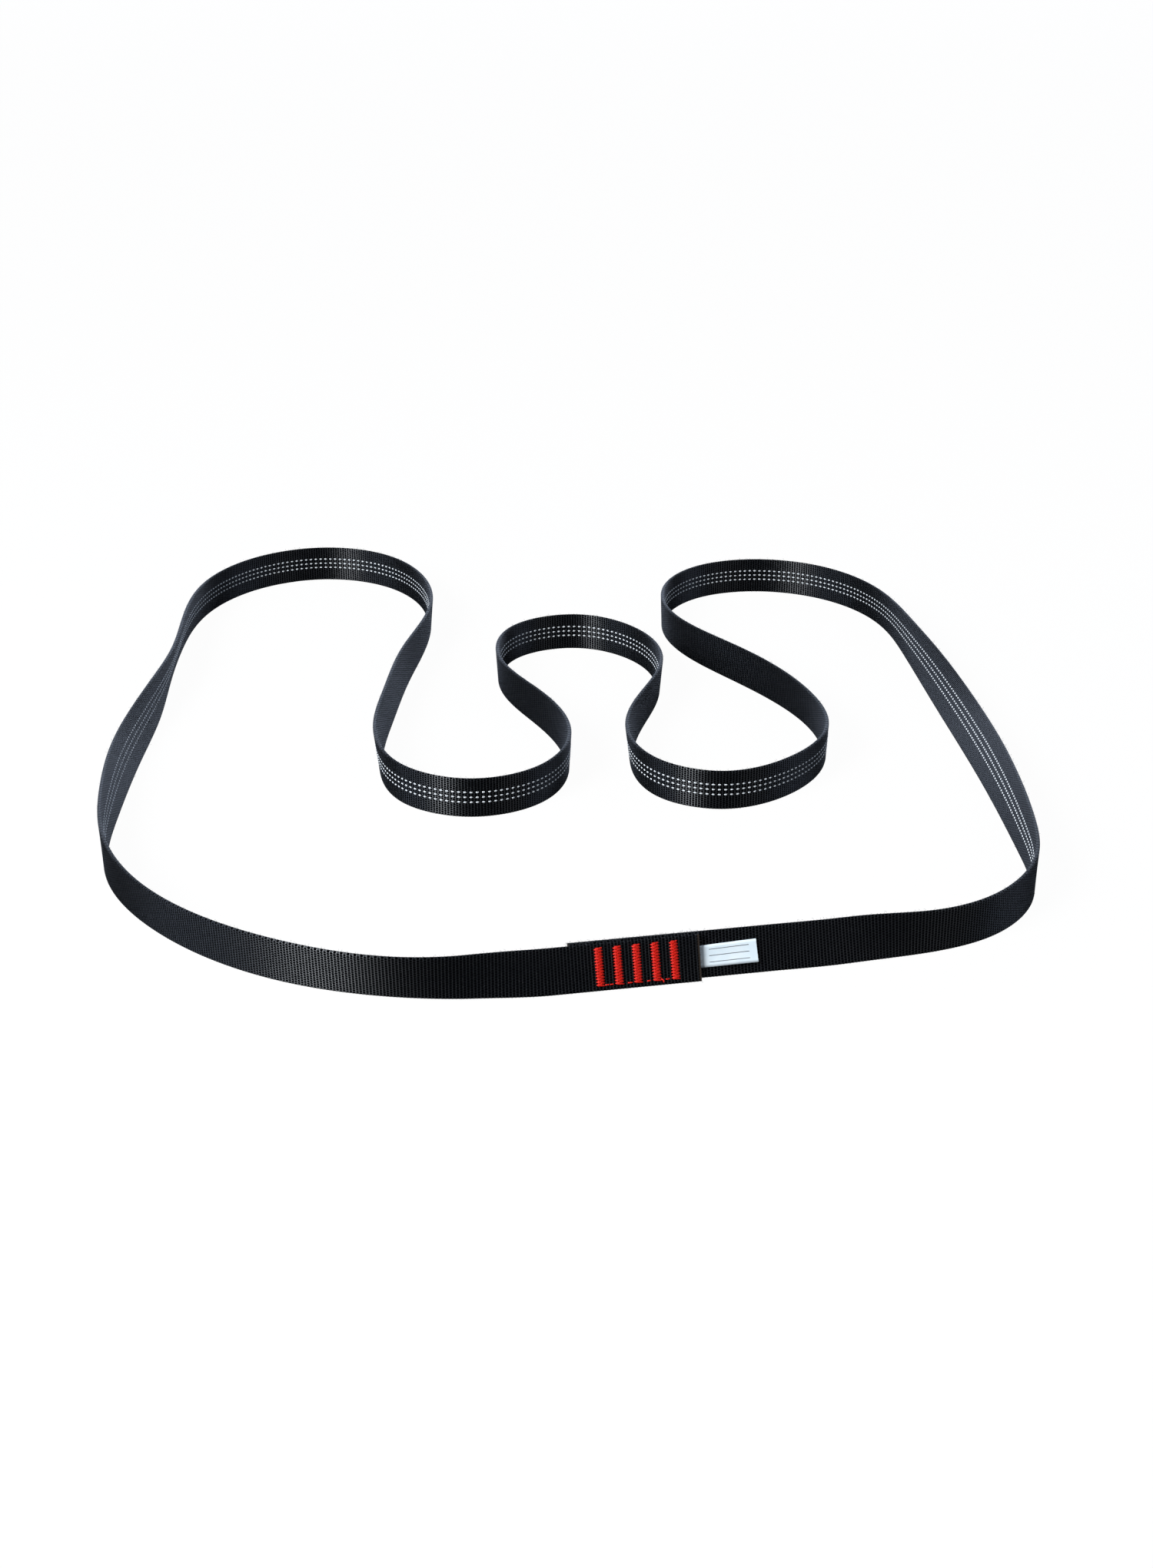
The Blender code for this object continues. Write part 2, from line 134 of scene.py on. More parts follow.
def laid_route(scale):
    """The tape's foot, heading, lean and distance along the loop, closely sampled. One smooth
    cubic runs through the places and the leans of the route together."""
    middle = np.append(np.array(LAP_MIDDLE_SHARES) * scale, LAP_LEAN_DEGREES)
    steady_way = np.append(lap_way, 0)
    left = middle + steady_way * (LAP_LENGTH / 2 + LAP_RUNOUT)
    right = middle - steady_way * (LAP_LENGTH / 2 + LABEL_FLAP + LAP_RUNOUT)
    stops = np.vstack([left, np.array(ROUTE_SHARES) * (scale, scale, 1), right])
    apart = np.linalg.norm(np.diff(stops[:, :2], axis=0), axis=1)
    slopes = cubic_slopes(np.concatenate([[0], np.cumsum(apart)]), stops, steady_way)
    path = [middle]
    for i, step in enumerate(apart):
        for share in np.arange(SAMPLES_PER_KNOT) / SAMPLES_PER_KNOT:
            rest = 1 - share
            path.append(
                (1 + 2 * share) * rest * rest * stops[i] + share * rest * rest * step * slopes[i]
                + share * share * (3 - 2 * share) * stops[i + 1]
                - share * share * rest * step * slopes[i + 1]
            )
    path = np.array(path + [right, middle])
    feet, lean = path[:, :2], np.radians(path[:, 2])
    way = np.gradient(feet, axis=0)
    way[0] = way[-1] = lap_way
    way /= np.linalg.norm(way, axis=1)[:, None]
    inward = np.stack([way[:, 1], -way[:, 0]], axis=1)
    middle_line = feet + inward * (TAPE_WIDTH / 2 * np.sin(lean))[:, None]
    along = np.concatenate([[0], np.cumsum(np.linalg.norm(np.diff(middle_line, axis=0), axis=1))])
    return feet, way, lean, along


route_scale = SLING_LENGTH
for _ in range(SCALING_PASSES):
    route_feet, route_way, route_lean, route_along = laid_route(route_scale)
    loop_length = route_along[-1]
    route_scale *= 2 * SLING_LENGTH / loop_length


def tape_sections(places):
    """Middle, inward direction and lean of the tape's section at places along the loop."""
    inside = places % loop_length
    feet = np.stack([np.interp(inside, route_along, route_feet[:, k]) for k in (0, 1)], axis=1)
    way = np.stack([np.interp(inside, route_along, route_way[:, k]) for k in (0, 1)], axis=1)
    way /= np.linalg.norm(way, axis=1)[:, None]
    lean = np.interp(inside, route_along, route_lean)
    inward = np.stack([way[:, 1], -way[:, 0]], axis=1)
    from_start = smooth_step((LAP_LENGTH / 2 + LAP_RUNOUT + LAYER_EASE - places) / LAYER_EASE)
    flat_reach = LAP_LENGTH / 2 + LABEL_FLAP + LAP_RUNOUT
    to_end = smooth_step((places - loop_length + flat_reach + LAYER_EASE) / LAYER_EASE)
    offset = (to_end - from_start) * LAYER_PITCH / 2
    spots = feet + inward * (TAPE_WIDTH / 2 * np.sin(lean) + offset / np.cos(lean))[:, None]
    tilt = np.abs(lean)
    height = np.maximum(
        TAPE_WIDTH / 2 * np.cos(tilt) + (TAPE_THICKNESS / 2 - EDGE_CHAMFER) * np.sin(tilt),
        (TAPE_WIDTH / 2 - EDGE_CHAMFER) * np.cos(tilt) + TAPE_THICKNESS / 2 * np.sin(tilt),
    )
    return np.column_stack([spots + route_shift, height]), inward, lean


# The lap's own frame, from the hinge of the label: X along the tape to the right, Y up across
# its width and Z outwards, with its middle between the two layers.
label_joint = frame["joints"][0]
lap_across = -Vector(label_joint["axis"]).normalized()
lap_along = Vector((*(-lap_way), 0))
lap_out = lap_along.cross(lap_across)
lap_middle = (
    Vector(label_joint["pos_m"])
    - lap_along * (LAP_LENGTH / 2 + LABEL_STUB + CLEARANCE) + lap_across * STITCH_DROP
)
lap_frame = Matrix.Translation(lap_middle) @ Matrix((lap_along, lap_across, lap_out)).transposed().to_4x4()
route_shift = np.zeros(2)
lap_ends, _, _ = tape_sections(np.array([0, loop_length]))
route_shift = np.array(lap_middle[:2]) - lap_ends.mean(axis=0)[:2]


# The webbing tape: black polyamide in a ribbed narrow weave, 18 mm wide. Its ribs run across
# the width every 1.3 mm, its ends are cut with a hot blade, and each tack draws the lap in.
RIB_PITCH = 0.0013
RIB_HEIGHT = 0.0001
STATIONS_PER_RIB = 3
EDGE_ROUNDNESS = 0.0005
EDGE_DEGREES = (0, 36, 90, 144, 180)
FACE_MARGIN = 0.0011
HOLE_PITCH = 0.00103
HOLE_RADIUS = 0.00059
HOLE_RIM = 0.00012
HOLE_FLATTENING = 1.4
CREST_REACH = 0.00028
SEALED_END = 0.0009
STREAK_WIDTH = 0.00035
WEAVE_RELIEF = 0.00012
CREST_ROUGHNESS = 0.42
GROUND_ROUGHNESS = 0.6
HOLE_ROUGHENING = 0.3
TAPE_RIDGE = "#050608"
TAPE_FADED = "#0a0c0f"
# Painted shade: the holes of the weave are darkened in the base colour.
TAPE_HOLE_PAINTED_SHADE = "#010102"
# Painted highlight: the base colour of the rib crests, lighter in dotted lines.
TAPE_CREST_PAINTED_HIGHLIGHT = "#24272b"
TAPE_SEALED = "#2c2621"
CREST_GLINT = "#f4f8fd"
GROUND_GLINT = "#acb3ba"
HOLE_GLINT = "#000000"
TACK_COUNT = 5
TACK_PITCH = 0.0072
TACK_WIDTH = 0.0038
TACK_SHIFT = 0.0008
PUCKER_DEPTH = 0.00015
PUCKER_REACH = 0.0014
FACE_LEVEL = (LAYER_PITCH + TAPE_THICKNESS) / 2


def linear(colour):
    """An sRGB hex colour as linear red, green, blue and alpha."""
    parts = [int(colour[i:i + 2], 16) / 255 for i in (1, 3, 5)]
    return (*(c / 12.92 if c <= 0.04045 else ((c + 0.055) / 1.055) ** 2.4 for c in parts), 1.0)


def node(tree, kind, inputs=None, **settings):
    """Add a node: a socket among its inputs is linked, any other value is set."""
    made = tree.nodes.new(kind)
    for name, value in settings.items():
        setattr(made, name, value)
    for key, value in (inputs or {}).items():
        if isinstance(value, bpy.types.NodeSocket):
            tree.links.new(value, made.inputs[key])
        else:
            made.inputs[key].default_value = value
    return made


def new_material(name):
    """A material with its tree, its shader and nothing set."""
    made = bpy.data.materials.new(name)
    made.use_nodes = True
    return made, made.node_tree, made.node_tree.nodes["Principled BSDF"]


def new_tree(name, **sizes):
    """A geometry tree with named size inputs, and its group input node."""
    tree = bpy.data.node_groups.new(name, "GeometryNodeTree")
    tree.interface.new_socket("Geometry", in_out="OUTPUT", socket_type="NodeSocketGeometry")
    tree.interface.new_socket("Geometry", in_out="INPUT", socket_type="NodeSocketGeometry")
    for label, kind in sizes.items():
        tree.interface.new_socket(label.replace("_", " "), in_out="INPUT", socket_type="NodeSocket" + kind)
    return tree, tree.nodes.new("NodeGroupInput").outputs


def finish_tree(tree, last, material):
    """End a geometry tree: its instances made real, its material set and its output linked."""
    real = node(tree, "GeometryNodeRealizeInstances", {"Geometry": last})
    finish = node(tree, "GeometryNodeSetMaterial", {"Geometry": real.outputs[0], "Material": material})
    output = tree.nodes.new("NodeGroupOutput")
    tree.links.new(finish.outputs[0], output.inputs[0])


def grown(name, source, tree, values):
    """Run a tree on an object with its sizes set, and keep the result as a plain mesh."""
    modifier = source.modifiers.new("grow", "NODES")
    modifier.node_group = tree
    for item in tree.interface.items_tree:
        if item.in_out == "INPUT" and item.name in values:
            modifier[item.identifier] = values[item.name]
    bpy.context.view_layer.update()
    evaluated = source.evaluated_get(bpy.context.evaluated_depsgraph_get())
    mesh = bpy.data.meshes.new_from_object(evaluated, preserve_all_data_layers=True)
    source.modifiers.remove(modifier)
    mesh.name = name
    made = bpy.data.objects.new(name, mesh)
    scene.collection.objects.link(made)
    return made


def path_curve(name, spots, tilts=None):
    """An open curve through the spots, turned upright and tilted where tilts are given."""
    curve = bpy.data.curves.new(name, "CURVE")
    curve.dimensions = "3D"
    curve.twist_mode = "Z_UP"
    spline = curve.splines.new("POLY")
    spline.points.add(len(spots) - 1)
    spline.points.foreach_set("co", np.column_stack([spots, np.ones(len(spots))]).ravel())
    if tilts is not None:
        spline.points.foreach_set("tilt", tilts)
    made = bpy.data.objects.new(name, curve)
    scene.collection.objects.link(made)
    return made


def tape_outline():
    """The tape's section: two flat faces between rounded edges."""
    half_width, half_thick = TAPE_WIDTH / 2 - RIB_HEIGHT / 2, TAPE_THICKNESS / 2 - RIB_HEIGHT / 2
    nose = [(math.cos(math.radians(angle)), math.sin(math.radians(angle))) for angle in EDGE_DEGREES]
    top = [(half_thick * x, half_width - EDGE_ROUNDNESS * (1 - y)) for x, y in nose]
    points = [(half_thick, half_width - FACE_MARGIN), *top, (-half_thick, half_width - FACE_MARGIN)]
    return points + [(-x, -y) for x, y in points]


def closed_curve(name, points):
    """A closed flat curve through the points."""
    curve = bpy.data.curves.new(name, "CURVE")
    curve.dimensions = "2D"
    spline = curve.splines.new("POLY")
    spline.points.add(len(points) - 1)
    for point, (x, y) in zip(spline.points, points):
        point.co = (x, y, 0, 1)
    spline.use_cyclic_u = True
    made = bpy.data.objects.new(name, curve)
    scene.collection.objects.link(made)
    return made


def webbing_material():
    """Black polyamide multifilament: ridges of bright filament round small dark holes, which are
    staggered from rib to rib. The crests carry a painted highlight in dotted lines, and the holes
    a painted shade. The filaments lie along the tape and spread a highlight across it.
    Each streak stands for a bundle of filaments, since one alone is too fine to show."""
    material, tree, shader = new_material("black_polyamide_webbing")
    place = node(tree, "ShaderNodeUVMap", uv_map="UVMap")
    parts = node(tree, "ShaderNodeSeparateXYZ", {0: place.outputs[0]})
    turns = node(tree, "ShaderNodeMath", {0: parts.outputs[0], 1: RIB_PITCH}, operation="DIVIDE")
    column = node(tree, "ShaderNodeMath", {0: turns.outputs[0]}, operation="FLOOR")
    shifted = node(tree, "ShaderNodeMath", {
        0: column.outputs[0], 1: HOLE_PITCH / 2, 2: parts.outputs[1],
    }, operation="MULTIPLY_ADD")
    from_rib = node(tree, "ShaderNodeMath", {0: parts.outputs[0], 1: RIB_PITCH / 2}, operation="PINGPONG")
    from_row = node(tree, "ShaderNodeMath", {0: shifted.outputs[0], 1: HOLE_PITCH / 2}, operation="PINGPONG")
    reach = node(tree, "ShaderNodeMath", {0: RIB_PITCH / 2, 1: from_rib.outputs[0]}, operation="SUBTRACT")
    low = node(tree, "ShaderNodeMath", {0: from_row.outputs[0], 1: HOLE_FLATTENING}, operation="MULTIPLY")
    spot = node(tree, "ShaderNodeCombineXYZ", {0: reach.outputs[0], 1: low.outputs[0]})
    distance = node(tree, "ShaderNodeVectorMath", {0: spot.outputs[0]}, operation="LENGTH")
    hole = node(tree, "ShaderNodeMapRange", {
        "Value": distance.outputs["Value"], "From Min": HOLE_RADIUS, "From Max": HOLE_RADIUS - HOLE_RIM,
    }, interpolation_type="SMOOTHSTEP")
    stretched = node(tree, "ShaderNodeMapping", {
        "Vector": place.outputs[0], "Scale": (1 / TAPE_WIDTH, 1 / STREAK_WIDTH, 1),
    })
    streak = node(tree, "ShaderNodeTexNoise", {
        "Vector": stretched.outputs[0], "Scale": 1.0, "Detail": 2.0, "Roughness": 0.6,
    })
    yarn = node(tree, "ShaderNodeMix", {
        0: streak.outputs["Fac"], 6: linear(TAPE_RIDGE), 7: linear(TAPE_FADED),
    }, data_type="RGBA")
    crest = node(tree, "ShaderNodeMapRange", {
        "Value": from_rib.outputs[0], "From Min": CREST_REACH, "From Max": 0.0,
    }, interpolation_type="SMOOTHSTEP")
    grain = node(tree, "ShaderNodeMath", {0: parts.outputs[1], 1: HOLE_PITCH / 4}, operation="PINGPONG")
    grain = node(tree, "ShaderNodeMapRange", {"Value": grain.outputs[0], "From Max": HOLE_PITCH / 4})
    painted_crest_dots = node(tree, "ShaderNodeMath", {0: crest.outputs[0], 1: grain.outputs[0]}, operation="MULTIPLY")
    # Painted highlight: the rib crests are lightened in dotted lines.
    colour = node(tree, "ShaderNodeMix", {
        0: painted_crest_dots.outputs[0], 6: yarn.outputs[2], 7: linear(TAPE_CREST_PAINTED_HIGHLIGHT),
    }, data_type="RGBA")
    # Painted shade in the holes of the weave.
    colour = node(tree, "ShaderNodeMix", {
        0: hole.outputs[0], 6: colour.outputs[2], 7: linear(TAPE_HOLE_PAINTED_SHADE),
    }, data_type="RGBA")
    from_middle = node(tree, "ShaderNodeMath", {
        0: parts.outputs[0], 1: loop_length / 2 + LAP_LENGTH / 2,
    }, operation="SUBTRACT")
    outwards = node(tree, "ShaderNodeMath", {0: from_middle.outputs[0]}, operation="ABSOLUTE")
    sealed = node(tree, "ShaderNodeMapRange", {
        "Value": outwards.outputs[0], "From Min": (loop_length + LAP_LENGTH) / 2 - SEALED_END,
        "From Max": (loop_length + LAP_LENGTH) / 2 - SEALED_END / 2,
    })
    colour = node(tree, "ShaderNodeMix", {
        0: sealed.outputs[0], 6: colour.outputs[2], 7: linear(TAPE_SEALED),
    }, data_type="RGBA")
    smoother = node(tree, "ShaderNodeMapRange", {
        "Value": crest.outputs[0], "To Min": GROUND_ROUGHNESS, "To Max": CREST_ROUGHNESS,
    })
    gloss = node(tree, "ShaderNodeMath", {
        0: hole.outputs[0], 1: HOLE_ROUGHENING, 2: smoother.outputs[0],
    }, operation="MULTIPLY_ADD")
    relief = node(tree, "ShaderNodeMath", {
        0: hole.outputs[0], 1: -1.0, 2: streak.outputs["Fac"],
    }, operation="MULTIPLY_ADD")
    bump = node(tree, "ShaderNodeBump", {
        "Strength": 0.8, "Distance": WEAVE_RELIEF, "Height": relief.outputs[0],
    })
    glint = node(tree, "ShaderNodeMix", {
        0: crest.outputs[0], 6: linear(GROUND_GLINT), 7: linear(CREST_GLINT),
    }, data_type="RGBA")
    glint = node(tree, "ShaderNodeMix", {
        0: hole.outputs[0], 6: glint.outputs[2], 7: linear(HOLE_GLINT),
    }, data_type="RGBA")
    tree.links.new(glint.outputs[2], shader.inputs["Specular Tint"])
    tangent = node(tree, "ShaderNodeTangent", direction_type="UV_MAP", uv_map="UVMap")
    tree.links.new(colour.outputs[2], shader.inputs["Base Color"])
    tree.links.new(gloss.outputs[0], shader.inputs["Roughness"])
    tree.links.new(bump.outputs[0], shader.inputs["Normal"])
    tree.links.new(tangent.outputs[0], shader.inputs["Tangent"])
    shader.inputs["IOR"].default_value = 1.53
    shader.inputs["Specular IOR Level"].default_value = 1.0
    shader.inputs["Anisotropic"].default_value = 1.0
    shader.inputs["Anisotropic Rotation"].default_value = 0.25
    return material


def ribbed_tree(material):
    """A tree that sweeps the tape's section along its path and raises a rib at every pitch."""
    tree, given = new_tree("ribbed_tape", Section="Object", Rib_Pitch="Float", Rib_Height="Float")
    along = node(tree, "GeometryNodeSplineParameter")
    path = node(tree, "GeometryNodeStoreNamedAttribute", {
        "Geometry": given["Geometry"], "Name": "along", "Value": along.outputs["Length"],
    }, data_type="FLOAT", domain="POINT")
    section = node(tree, "GeometryNodeObjectInfo", {"Object": given["Section"]})
    local = node(tree, "ShaderNodeSeparateXYZ", {0: node(tree, "GeometryNodeInputPosition").outputs[0]})
    section = node(tree, "GeometryNodeStoreNamedAttribute", {
        "Geometry": section.outputs["Geometry"], "Name": "across", "Value": local.outputs[1],
    }, data_type="FLOAT", domain="POINT")
    sweep = node(tree, "GeometryNodeCurveToMesh", {
        "Curve": path.outputs[0], "Profile Curve": section.outputs[0], "Fill Caps": True,
    })
    along = node(tree, "GeometryNodeInputNamedAttribute", {"Name": "along"}, data_type="FLOAT")
    across = node(tree, "GeometryNodeInputNamedAttribute", {"Name": "across"}, data_type="FLOAT")
    turns = node(tree, "ShaderNodeMath", {0: along.outputs[0], 1: given["Rib Pitch"]}, operation="DIVIDE")
    angle = node(tree, "ShaderNodeMath", {0: turns.outputs[0], 1: math.tau}, operation="MULTIPLY")
    crest = node(tree, "ShaderNodeMath", {0: angle.outputs[0]}, operation="COSINE")
    half = node(tree, "ShaderNodeMath", {0: given["Rib Height"], 1: 0.5}, operation="MULTIPLY")
    rise = node(tree, "ShaderNodeMath", {0: crest.outputs[0], 1: half.outputs[0]}, operation="MULTIPLY")
    normal = node(tree, "GeometryNodeInputNormal")
    offset = node(tree, "ShaderNodeVectorMath", {
        0: normal.outputs[0], "Scale": rise.outputs[0],
    }, operation="SCALE")
    ribbed = node(tree, "GeometryNodeSetPosition", {
        "Geometry": sweep.outputs[0], "Offset": offset.outputs[0],
    })
    spread = node(tree, "ShaderNodeCombineXYZ", {0: along.outputs[0], 1: across.outputs[0]})
    mapped = node(tree, "GeometryNodeStoreNamedAttribute", {
        "Geometry": ribbed.outputs[0], "Name": "UVMap", "Value": spread.outputs[0],
    }, data_type="FLOAT2", domain="CORNER")
    smooth = node(tree, "GeometryNodeSetShadeSmooth", {"Geometry": mapped.outputs[0]})
    finish_tree(tree, smooth.outputs[0], material)
    return tree


def tack_places():
    """Middle of each tack along the lap."""
    first = TACK_SHIFT - (TACK_COUNT - 1) / 2 * TACK_PITCH
    return [first + number * TACK_PITCH for number in range(TACK_COUNT)]


def draw_in(tape):
    """Sink the outer faces of the lap where each tack pulls its two layers together."""
    corners = np.empty(3 * len(tape.data.vertices))
    tape.data.vertices.foreach_get("co", corners)
    turn = np.array(lap_frame.to_3x3())
    local = (corners.reshape(-1, 3) - np.array(lap_middle)) @ turn
    inside = (np.abs(local[:, 0]) < LAP_LENGTH / 2) & (np.abs(local[:, 2]) < LAYER_PITCH)
    outward = np.clip((np.abs(local[:, 2]) - LAYER_PITCH / 2) / (TAPE_THICKNESS / 2), 0, 1) * inside
    for place in tack_places():
        away = np.maximum(np.abs(local[:, 0] - place) - TACK_WIDTH / 2, 0)
        sink = PUCKER_DEPTH * outward * smooth_step(1 - away / PUCKER_REACH)
        local[:, 2] -= np.sign(local[:, 2]) * sink
    tape.data.vertices.foreach_set("co", (local @ turn.T + np.array(lap_middle)).ravel())
    tape.data.update()


tape_places = np.arange(-LAP_LENGTH / 2, loop_length + LAP_LENGTH / 2, RIB_PITCH / STATIONS_PER_RIB)
tape_line, _, tape_lean = tape_sections(tape_places)
tape_path = path_curve("tape_path", tape_line, tape_lean)
tape_section = closed_curve("tape_section", tape_outline())
tape = grown("black_webbing_tape", tape_path, ribbed_tree(webbing_material()), {
    "Section": tape_section, "Rib Pitch": RIB_PITCH, "Rib Height": RIB_HEIGHT,
})
draw_in(tape)
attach(tape, "sling")
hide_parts("webbing_tape")


# The tracer yarns: three white polyester yarns woven into the inner face. Each floats over
# every second rib and dives under the next, so it shows as a row of white beads.
YARN_ROWS = {"bottom": -1, "middle": 0, "top": 1}
YARN_SPACING = 0.0023
YARN_DROP = 0.0004
YARN_WIDTH = 0.00078
YARN_THICKNESS = 0.00042
YARN_DEPTH = 0.00029
YARN_SWING = 0.00025
YARN_PITCH = 2 * RIB_PITCH
STATIONS_PER_FLOAT = 8
YARN_SIDES = 8
YARN_WHITE = "#e6ebef"
YARN_SHADE = "#b4bdc4"
FILAMENT_PITCH = 0.0002
FILAMENT_RELIEF = 0.00003


def wave(tree, place, pitch):
    """A sine along a pattern, with one turn to each pitch."""
    angle = node(tree, "ShaderNodeMath", {0: place, 1: math.tau / pitch}, operation="MULTIPLY")
    return node(tree, "ShaderNodeMath", {0: angle.outputs[0]}, operation="SINE").outputs[0]


def yarn_material():
    """White polyester yarn, slightly twisted: soft and matt, with painted shade between filaments,
    which are drawn much coarser than real ones so that they show."""
    material, tree, shader = new_material("white_polyester_yarn")
    place = node(tree, "ShaderNodeUVMap", uv_map="UVMap")
    parts = node(tree, "ShaderNodeSeparateXYZ", {0: place.outputs[0]})
    slant = node(tree, "ShaderNodeMath", {0: parts.outputs[0], 1: parts.outputs[1]}, operation="ADD")
    line = node(tree, "ShaderNodeMapRange", {
        "Value": wave(tree, slant.outputs[0], FILAMENT_PITCH), "From Min": -1.0,
    })
    # Painted shade: the yarn turns grey in the grooves between filaments.
    colour = node(tree, "ShaderNodeMix", {
        0: line.outputs[0], 6: linear(YARN_SHADE), 7: linear(YARN_WHITE),
    }, data_type="RGBA")
    bump = node(tree, "ShaderNodeBump", {
        "Strength": 0.4, "Distance": FILAMENT_RELIEF, "Height": line.outputs[0],
    })
    tree.links.new(colour.outputs[2], shader.inputs["Base Color"])
    tree.links.new(bump.outputs[0], shader.inputs["Normal"])
    shader.inputs["Roughness"].default_value = 0.55
    shader.inputs["IOR"].default_value = 1.57
    shader.inputs["Sheen Weight"].default_value = 0.1
    return material


def strand_tree(name, material):
    """A tree that sweeps an oval strand along its path and then swings it in and out."""
    tree, given = new_tree(
        name, Width="Float", Thickness="Float", Height="Float", Depth="Float", Swing="Float",
        Pitch="Float", Sides="Int",
    )
    length = node(tree, "GeometryNodeSplineParameter").outputs["Length"]
    path = node(tree, "GeometryNodeStoreNamedAttribute", {
        "Geometry": given["Geometry"], "Name": "along", "Value": length,
    }, data_type="FLOAT", domain="POINT")
    inward = node(tree, "GeometryNodeInputNormal").outputs[0]
    path = node(tree, "GeometryNodeStoreNamedAttribute", {
        "Geometry": path.outputs[0], "Name": "inward", "Value": inward,
    }, data_type="FLOAT_VECTOR", domain="POINT")
    ring = node(tree, "GeometryNodeCurvePrimitiveCircle", {"Resolution": given["Sides"], "Radius": 0.5})
    oval = node(tree, "ShaderNodeCombineXYZ", {0: given["Thickness"], 1: given["Width"], 2: 1.0})
    middle = node(tree, "ShaderNodeCombineXYZ", {0: given["Depth"], 1: given["Height"]})
    section = node(tree, "GeometryNodeTransform", {
        "Geometry": ring.outputs[0], "Translation": middle.outputs[0], "Scale": oval.outputs[0],
    })
    turn = node(tree, "GeometryNodeSplineParameter").outputs["Factor"]
    section = node(tree, "GeometryNodeStoreNamedAttribute", {
        "Geometry": section.outputs[0], "Name": "around", "Value": turn,
    }, data_type="FLOAT", domain="POINT")
    sweep = node(tree, "GeometryNodeCurveToMesh", {
        "Curve": path.outputs[0], "Profile Curve": section.outputs[0], "Fill Caps": True,
    })
    along = node(tree, "GeometryNodeInputNamedAttribute", {"Name": "along"}, data_type="FLOAT")
    around = node(tree, "GeometryNodeInputNamedAttribute", {"Name": "around"}, data_type="FLOAT")
    inward = node(tree, "GeometryNodeInputNamedAttribute", {"Name": "inward"}, data_type="FLOAT_VECTOR")
    turns = node(tree, "ShaderNodeMath", {0: along.outputs[0], 1: given["Pitch"]}, operation="DIVIDE")
    angle = node(tree, "ShaderNodeMath", {0: turns.outputs[0], 1: math.tau}, operation="MULTIPLY")
    crest = node(tree, "ShaderNodeMath", {0: angle.outputs[0]}, operation="COSINE")
    rise = node(tree, "ShaderNodeMath", {0: crest.outputs[0], 1: given["Swing"]}, operation="MULTIPLY")
    offset = node(tree, "ShaderNodeVectorMath", {
        0: inward.outputs[0], "Scale": rise.outputs[0],
    }, operation="SCALE")
    swung = node(tree, "GeometryNodeSetPosition", {"Geometry": sweep.outputs[0], "Offset": offset.outputs[0]})
    girth = node(tree, "ShaderNodeMath", {0: around.outputs[0], 1: given["Width"]}, operation="MULTIPLY")
    spread = node(tree, "ShaderNodeCombineXYZ", {0: along.outputs[0], 1: girth.outputs[0]})
    mapped = node(tree, "GeometryNodeStoreNamedAttribute", {
        "Geometry": swung.outputs[0], "Name": "UVMap", "Value": spread.outputs[0],
    }, data_type="FLOAT2", domain="CORNER")
    smooth = node(tree, "GeometryNodeSetShadeSmooth", {"Geometry": mapped.outputs[0]})
    finish_tree(tree, smooth.outputs[0], material)
    return tree


yarn_places = np.arange(-LAP_LENGTH / 2, loop_length + LAP_LENGTH / 2, YARN_PITCH / STATIONS_PER_FLOAT)
yarn_line, _, yarn_lean = tape_sections(yarn_places)
yarn_path = path_curve("yarn_path", yarn_line, yarn_lean)
yarn_tree = strand_tree("floating_yarn", yarn_material())
for row, step in YARN_ROWS.items():
    yarn = grown(f"white_tracer_yarn_{row}", yarn_path, yarn_tree, {
        "Width": YARN_WIDTH, "Thickness": YARN_THICKNESS, "Height": step * YARN_SPACING - YARN_DROP,
        "Depth": TAPE_THICKNESS / 2 - YARN_DEPTH, "Swing": YARN_SWING, "Pitch": YARN_PITCH,
        "Sides": YARN_SIDES,
    })
    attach(yarn, "sling")
    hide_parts(f"tracer_yarn_{row}")


# The bar tacks: five blocks of close zigzag in red polyester thread, through both layers. Each
# has padding runs down its length and the zigzag over them, with a thread of its own on each face.
TACK_LENGTH = 0.0144
TACK_TEETH = 13
TACK_CROWN = 0.00048
TACK_TURN = math.radians(1.0)
THREAD_WIDTH = 0.00054
THREAD_THICKNESS = 0.00042
THREAD_SIDES = 8
THREAD_JITTER = 0.00005
PADDING_LIFT = 0.00012
PADDING_POINTS = 12
PADDING_SHARES = (-0.5, 0.0, 0.5)
CROSSING_SHARES = ((0.0, -0.5), (0.1, 0.35), (0.3, 0.9), (0.5, 1.0), (0.7, 0.9), (0.9, 0.35))
THREAD_RED = "#dc2214"
THREAD_PLY_SHADE = "#8f0f0d"
PLY_PITCH = 0.0005
PLY_RELIEF = 0.00005


def thread_material():
    """Red bonded polyester sewing thread: three twisted plies with painted shade between them, and a soft
    lustre.
    """
    material, tree, shader = new_material("red_polyester_thread")
    place = node(tree, "ShaderNodeUVMap", uv_map="UVMap")
    parts = node(tree, "ShaderNodeSeparateXYZ", {0: place.outputs[0]})
    slant = node(tree, "ShaderNodeMath", {0: parts.outputs[0], 1: parts.outputs[1]}, operation="ADD")
    line = node(tree, "ShaderNodeMapRange", {
        "Value": wave(tree, slant.outputs[0], PLY_PITCH), "From Min": -1.0, "From Max": 0.2,
    }, interpolation_type="SMOOTHSTEP")
    # Painted shade: the grooves between the plies are darkened.
    colour = node(tree, "ShaderNodeMix", {
        0: line.outputs[0], 6: linear(THREAD_PLY_SHADE), 7: linear(THREAD_RED),
    }, data_type="RGBA")
    bump = node(tree, "ShaderNodeBump", {
        "Strength": 0.5, "Distance": PLY_RELIEF, "Height": line.outputs[0],
    })
    tree.links.new(colour.outputs[2], shader.inputs["Base Color"])
    tree.links.new(bump.outputs[0], shader.inputs["Normal"])
    shader.inputs["Roughness"].default_value = 0.45
    shader.inputs["IOR"].default_value = 1.57
    shader.inputs["Specular IOR Level"].default_value = 0.15
    return material


